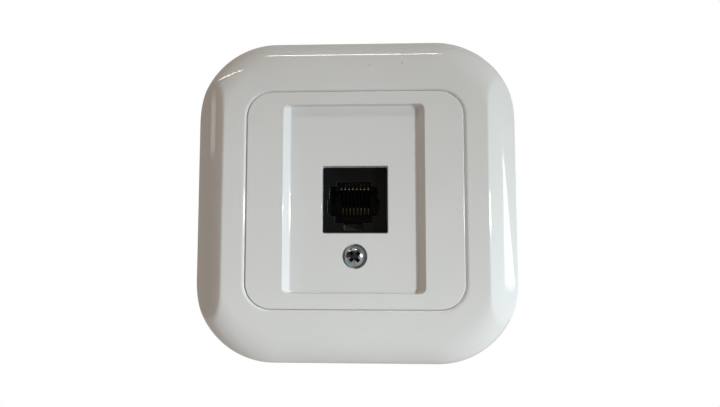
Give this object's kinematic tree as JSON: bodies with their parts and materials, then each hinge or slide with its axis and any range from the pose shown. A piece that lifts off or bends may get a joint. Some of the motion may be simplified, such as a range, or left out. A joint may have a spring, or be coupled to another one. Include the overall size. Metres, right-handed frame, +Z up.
{
  "type": "flush RJ45 data outlet",
  "caption": "Flush wall outlet with a rounded frame, a recessed centre plate, an RJ45 jack and spreading claws for a round box.",
  "frame": {"origin": "centre of the rear face of the support frame, in the plane of the wall", "axes": "+Y into the wall, +X to the right as seen from the room, +Z up; the front faces -Y"},
  "size_m": [0.0802, 0.0331, 0.0802],
  "materials": {
    "gloss_white_plastic": "glossy moulded, faint waviness",
    "black_jack_plastic": "satin moulded",
    "black_insert_plastic": "satin moulded",
    "grey_plastic": "fine spark-eroded texture",
    "white_terminal_plastic": "satin moulded",
    "cap_plastic": "satin moulded",
    "zinc_plated_steel": "bright zinc plating, slightly blue",
    "galvanised_steel": "zinc-coated sheet, dull spangle",
    "gold_contact": "thin gold plating",
    "tinned_contact": "matt tin plating",
    "board_laminate": "glass-epoxy board with solder mask",
    "washer_rubber": "dull"
  },
  "bodies": {
    "insert": {"support_frame": "galvanised_steel", "module_carrier": "grey_plastic", "carrier_screw_upper": "zinc_plated_steel", "carrier_screw_lower": "zinc_plated_steel", "cover_screw_nut": "zinc_plated_steel", "claw_pin_left": "zinc_plated_steel", "claw_pin_right": "zinc_plated_steel", "jack_housing": "black_jack_plastic", "contact_insert": "black_insert_plastic", "contact_lead_1": "gold_contact", "contact_lead_2": "gold_contact", "contact_lead_3": "gold_contact", "contact_lead_4": "gold_contact", "contact_lead_5": "gold_contact", "contact_lead_6": "gold_contact", "contact_lead_7": "gold_contact", "contact_lead_8": "gold_contact", "circuit_board": "board_laminate", "board_screw_upper": "zinc_plated_steel", "board_screw_lower": "zinc_plated_steel", "terminal_block_left": "white_terminal_plastic", "terminal_block_right": "white_terminal_plastic", "terminal_contact_1": "tinned_contact", "terminal_contact_2": "tinned_contact", "terminal_contact_3": "tinned_contact", "terminal_contact_4": "tinned_contact", "terminal_contact_5": "tinned_contact", "terminal_contact_6": "tinned_contact", "terminal_contact_7": "tinned_contact", "terminal_contact_8": "tinned_contact"},
    "surround": {"outer_frame": "gloss_white_plastic"},
    "cover": {"centre_plate": "gloss_white_plastic", "screw_retaining_washer": "washer_rubber"},
    "cover_fixing": {"cover_screw": "zinc_plated_steel"},
    "left_claw": {"claw_left": "galvanised_steel"},
    "right_claw": {"claw_right": "galvanised_steel"},
    "left_claw_fixing": {"claw_screw_left": "zinc_plated_steel"},
    "right_claw_fixing": {"claw_screw_right": "zinc_plated_steel"},
    "left_cap": {"terminal_cap_left": "cap_plastic"},
    "right_cap": {"terminal_cap_right": "cap_plastic"},
    "spring_1": {"contact_1": "gold_contact"},
    "spring_2": {"contact_2": "gold_contact"},
    "spring_3": {"contact_3": "gold_contact"},
    "spring_4": {"contact_4": "gold_contact"},
    "spring_5": {"contact_5": "gold_contact"},
    "spring_6": {"contact_6": "gold_contact"},
    "spring_7": {"contact_7": "gold_contact"},
    "spring_8": {"contact_8": "gold_contact"}
  },
  "joints": [
    {"name": "surround_lift", "type": "slide", "parent": "insert", "child": "surround", "axis": [0, -1, 0], "range_m": [0, 0.03]},
    {"name": "plate_lift", "type": "slide", "parent": "surround", "child": "cover", "axis": [0, -1, 0], "range_m": [0, 0.01]},
    {"name": "cover_screw_turn", "type": "hinge", "parent": "cover", "child": "cover_fixing", "pos_m": [0, -0.008, -0.0138], "axis": [0, 1, 0], "range_deg": [-7201, 0]},
    {"name": "claw_screw_left_turn", "type": "hinge", "parent": "insert", "child": "left_claw_fixing", "pos_m": [-0.024, -0.002, 0], "axis": [0, 1, 0], "range_deg": [0, 901]},
    {"name": "claw_screw_right_turn", "type": "hinge", "parent": "insert", "child": "right_claw_fixing", "pos_m": [0.024, -0.002, 0], "axis": [0, 1, 0], "range_deg": [0, 901]},
    {"name": "claw_left_swing", "type": "hinge", "parent": "insert", "child": "left_claw", "pos_m": [-0.02, 0.009, 0], "axis": [0, 0, 1], "range_deg": [0, 20]},
    {"name": "claw_right_swing", "type": "hinge", "parent": "insert", "child": "right_claw", "pos_m": [0.02, 0.009, 0], "axis": [0, 0, -1], "range_deg": [0, 20]},
    {"name": "cap_left_pull", "type": "slide", "parent": "insert", "child": "left_cap", "axis": [0, 1, 0], "range_m": [0, 0.012]},
    {"name": "cap_right_pull", "type": "slide", "parent": "insert", "child": "right_cap", "axis": [0, 1, 0], "range_m": [0, 0.012]},
    {"name": "contact_1_flex", "type": "hinge", "parent": "insert", "child": "spring_1", "pos_m": [-0.00398, 0.0021, 0.00375], "axis": [1, 0, 0], "range_deg": [0, 14], "stiffness_Nm_per_rad": 0.02},
    {"name": "contact_2_flex", "type": "hinge", "parent": "insert", "child": "spring_2", "pos_m": [-0.00296, 0.0021, 0.00375], "axis": [1, 0, 0], "range_deg": [0, 14], "stiffness_Nm_per_rad": 0.02},
    {"name": "contact_3_flex", "type": "hinge", "parent": "insert", "child": "spring_3", "pos_m": [-0.00194, 0.0021, 0.00375], "axis": [1, 0, 0], "range_deg": [0, 14], "stiffness_Nm_per_rad": 0.02},
    {"name": "contact_4_flex", "type": "hinge", "parent": "insert", "child": "spring_4", "pos_m": [-0.00093, 0.0021, 0.00375], "axis": [1, 0, 0], "range_deg": [0, 14], "stiffness_Nm_per_rad": 0.02},
    {"name": "contact_5_flex", "type": "hinge", "parent": "insert", "child": "spring_5", "pos_m": [0.00009, 0.0021, 0.00375], "axis": [1, 0, 0], "range_deg": [0, 14], "stiffness_Nm_per_rad": 0.02},
    {"name": "contact_6_flex", "type": "hinge", "parent": "insert", "child": "spring_6", "pos_m": [0.0011, 0.0021, 0.00375], "axis": [1, 0, 0], "range_deg": [0, 14], "stiffness_Nm_per_rad": 0.02},
    {"name": "contact_7_flex", "type": "hinge", "parent": "insert", "child": "spring_7", "pos_m": [0.00212, 0.0021, 0.00375], "axis": [1, 0, 0], "range_deg": [0, 14], "stiffness_Nm_per_rad": 0.02},
    {"name": "contact_8_flex", "type": "hinge", "parent": "insert", "child": "spring_8", "pos_m": [0.00314, 0.0021, 0.00375], "axis": [1, 0, 0], "range_deg": [0, 14], "stiffness_Nm_per_rad": 0.02}
  ],
  "couplings": [
    {"joint": "cover_screw_turn", "follows": "plate_lift", "rad_per_m": -12566},
    {"joint": "claw_screw_left_turn", "follows": "claw_left_swing", "ratio": 45},
    {"joint": "claw_screw_right_turn", "follows": "claw_right_swing", "ratio": 45}
  ]
}
